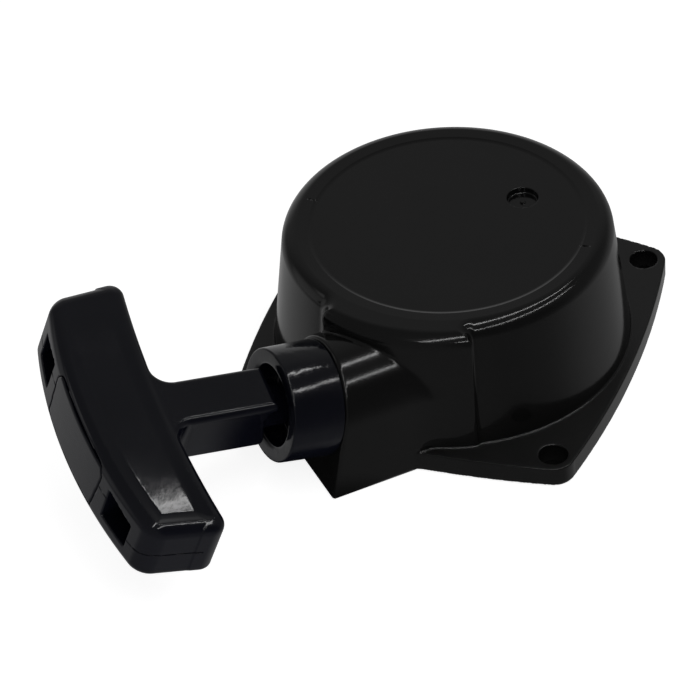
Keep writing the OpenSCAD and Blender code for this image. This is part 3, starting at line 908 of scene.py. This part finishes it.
def rope_path(step):
    """Centre line of the rope from the reel to the knot in the handle, with a soft bend at the outlet."""
    bend = np.array([-BEND_X, -ROPE_OFFSET, ROPE_Z])
    straight = np.arange(0, BEND_X - ROPE_BEND, step)
    points = [np.array([-x, -ROPE_OFFSET, ROPE_Z]) for x in straight]
    first, last = bend + [ROPE_BEND, 0, 0], bend + ROPE_BEND * ROPE_U
    for t in np.arange(0, 1, step / (2 * ROPE_BEND)):
        points.append(first * (1 - t) ** 2 + bend * 2 * t * (1 - t) + last * t * t)
    s0 = BEND_X / math.cos(TILT) + ROPE_BEND
    points += [ROPE_O + s * ROPE_U for s in np.arange(s0, ROPE_END, step)]
    return np.array(points)


def braided_rope(name, path, radius, per_ring=32, strands=4, pitch=7.0):
    """A round cord whose surface carries the crossing ridges of a braid."""
    ahead = np.gradient(path, axis=0)
    ahead /= np.linalg.norm(ahead, axis=1)[:, None]
    up = np.cross(ahead, SIDE_B)
    run = np.concatenate([[0], np.cumsum(np.linalg.norm(np.diff(path, axis=0), axis=1))])
    turn = np.linspace(0, math.tau, per_ring, endpoint=False)
    twist = math.tau * run[:, None] / pitch
    ridge = np.maximum(np.sin(strands * turn + twist) ** 2, np.sin(strands * turn - twist) ** 2)
    r = radius * (0.9 + 0.1 * ridge)
    ring = np.cos(turn)[None, :, None] * SIDE_B + np.sin(turn)[None, :, None] * up[:, None, :]
    points = (path[:, None, :] + r[:, :, None] * ring).reshape(-1, 3)
    points = np.concatenate([points, path[:1], path[-1:]])
    rows, k = np.meshgrid(np.arange(len(path) - 1) * per_ring, np.arange(per_ring), indexing="ij")
    k1 = (k + 1) % per_ring
    a, b = (rows + k).ravel(), (rows + k1).ravel()
    c, d = (rows + per_ring + k1).ravel(), (rows + per_ring + k).ravel()
    k, k1 = np.arange(per_ring), (np.arange(per_ring) + 1) % per_ring
    last = (len(path) - 1) * per_ring
    cap = [np.stack([np.full(per_ring, len(points) - 2), k1, k], 1),
           np.stack([np.full(per_ring, len(points) - 1), last + k, last + k1], 1)]
    tris = np.concatenate([np.stack([a, b, c], 1), np.stack([a, c, d], 1)] + cap)
    obj = mesh_object(name, points, facing_out(points, tris), None)
    obj.data.set_sharp_from_angle(angle=math.radians(60))
    return obj


# ---------------------------------------------------------------------------------------------------------
# Build
# ---------------------------------------------------------------------------------------------------------
STEP = 0.5
GRIP_STEP = 0.35


def build_housing(nylon):
    housing = field_object("housing_shell", housing_field, (-51.2, -51.2, -1.1), (51.2, 51.2, 33.6), STEP,
                           housing_wanted, 2)
    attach(housing, "housing")
    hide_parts("housing")
    set_material(housing, nylon)


def build_handle(glossy):
    grip = field_object("handle_body", grip_field, (45, -32.5, -9), (97, 32.5, 9), GRIP_STEP, grip_wanted, 2,
                        place=from_grip)
    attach(grip, "handle")
    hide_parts("handle_grip")
    set_material(grip, glossy)

    cover = field_object("handle_cover", cover_field, (84, -14.5, -7.5), (97, 14.5, 7.5), GRIP_STEP,
                         place=from_grip)
    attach(cover, "handle")
    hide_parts("knot_cover")
    set_material(cover, glossy)


def build_guide(guide_plastic):
    """The cup in the outlet: a spigot behind the face, the cup in front, and a seat for the eyelet."""
    back_s = OUTLET_S - SPIGOT_LEN
    front_s = OUTLET_S + GUIDE_LEN
    floor_s = front_s - CUP_DEPTH
    seat_s = OUTLET_S - EYELET_SEAT_BACK
    outline = rounded([
        (back_s, SPIGOT_R, 0.2), (OUTLET_S, SPIGOT_R, 0.0), (OUTLET_S, GUIDE_BACK_R, 0.25),
        (front_s, GUIDE_FRONT_R, 0.45), (front_s, CUP_R, 0.9), (floor_s, CUP_R - 0.15, 0.5),
        (floor_s, GUIDE_BORE_R, 0.8), (seat_s, GUIDE_BORE_R, 0.0), (seat_s, EYELET_SEAT_R, 0.0),
        (back_s, EYELET_SEAT_R, 0.0)])
    guide = lathe("guide_cup", outline, 144, ROPE_O, ROPE_U, SIDE_B, UP_N)
    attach(guide, "housing")
    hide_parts("rope_guide")
    set_material(guide, guide_plastic)


def build_rope(cord):
    rope = braided_rope("braided_rope", rope_path(0.3), ROPE_R)
    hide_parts("rope_lead")
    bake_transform(rope)
    set_material(rope, cord)


def paint_inner_parts(cord):
    """Materials of the parts that keep their CAD shapes."""
    steel = worked_metal("plated_steel", (0.45, 0.46, 0.48), (0.62, 0.63, 0.65), 0.3)
    brass = worked_metal("turned_brass", (0.55, 0.40, 0.16), (0.70, 0.52, 0.24), 0.3)
    spring_steel = worked_metal("blued_spring_steel", (0.16, 0.17, 0.19), (0.26, 0.27, 0.30), 0.35)
    white_nylon = moulded_plastic("natural_nylon", (0.55, 0.53, 0.47), (0.66, 0.64, 0.58), 0.4, 0.5, 0.3)
    looks = {
        "rope_eyelet": steel, "spring_cassette": spring_steel, "recoil_spring": spring_steel,
        "post_insert": brass, "center_screw": steel, "retaining_washer": steel, "friction_spring": steel,
        "reel": white_nylon, "reel_bushing": brass, "rope_winding": cord, "reel_rope_knot": cord,
        "pawl_springs": steel, "friction_plate": steel, "pawl_a": steel, "pawl_b": steel,
        "knot_washer": steel, "handle_rope_knot": cord,
    }
    for name, material in looks.items():
        set_material(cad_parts[name], material)


add_camera()
add_floor()
add_painted_shades()
build_housing(moulded_plastic(
    "satin_black_nylon", (0.0030, 0.0030, 0.0030), (0.0052, 0.0052, 0.0052), 0.13, 0.5, 0.15,
    matt_below=FLANGE_T + 0.1))
build_handle(moulded_plastic(
    "glossy_black_plastic", (0.0026, 0.0029, 0.0056), (0.0042, 0.0046, 0.0084), 0.11, 0.5, 0.1,
    wave=0.00008))
build_guide(moulded_plastic(
    "wavy_glossy_plastic", (0.0024, 0.0027, 0.0050), (0.0040, 0.0044, 0.0080), 0.12, 0.5, 0.25,
    wave=0.00025))
rope_cord = moulded_plastic("rope_cord", (0.015, 0.015, 0.016), (0.05, 0.05, 0.052), 0.7, 0.3, 0.8, 900)
build_rope(rope_cord)
paint_inner_parts(rope_cord)
add_tubes()
add_world()
bpy.context.scene.view_settings.view_transform = "Standard"
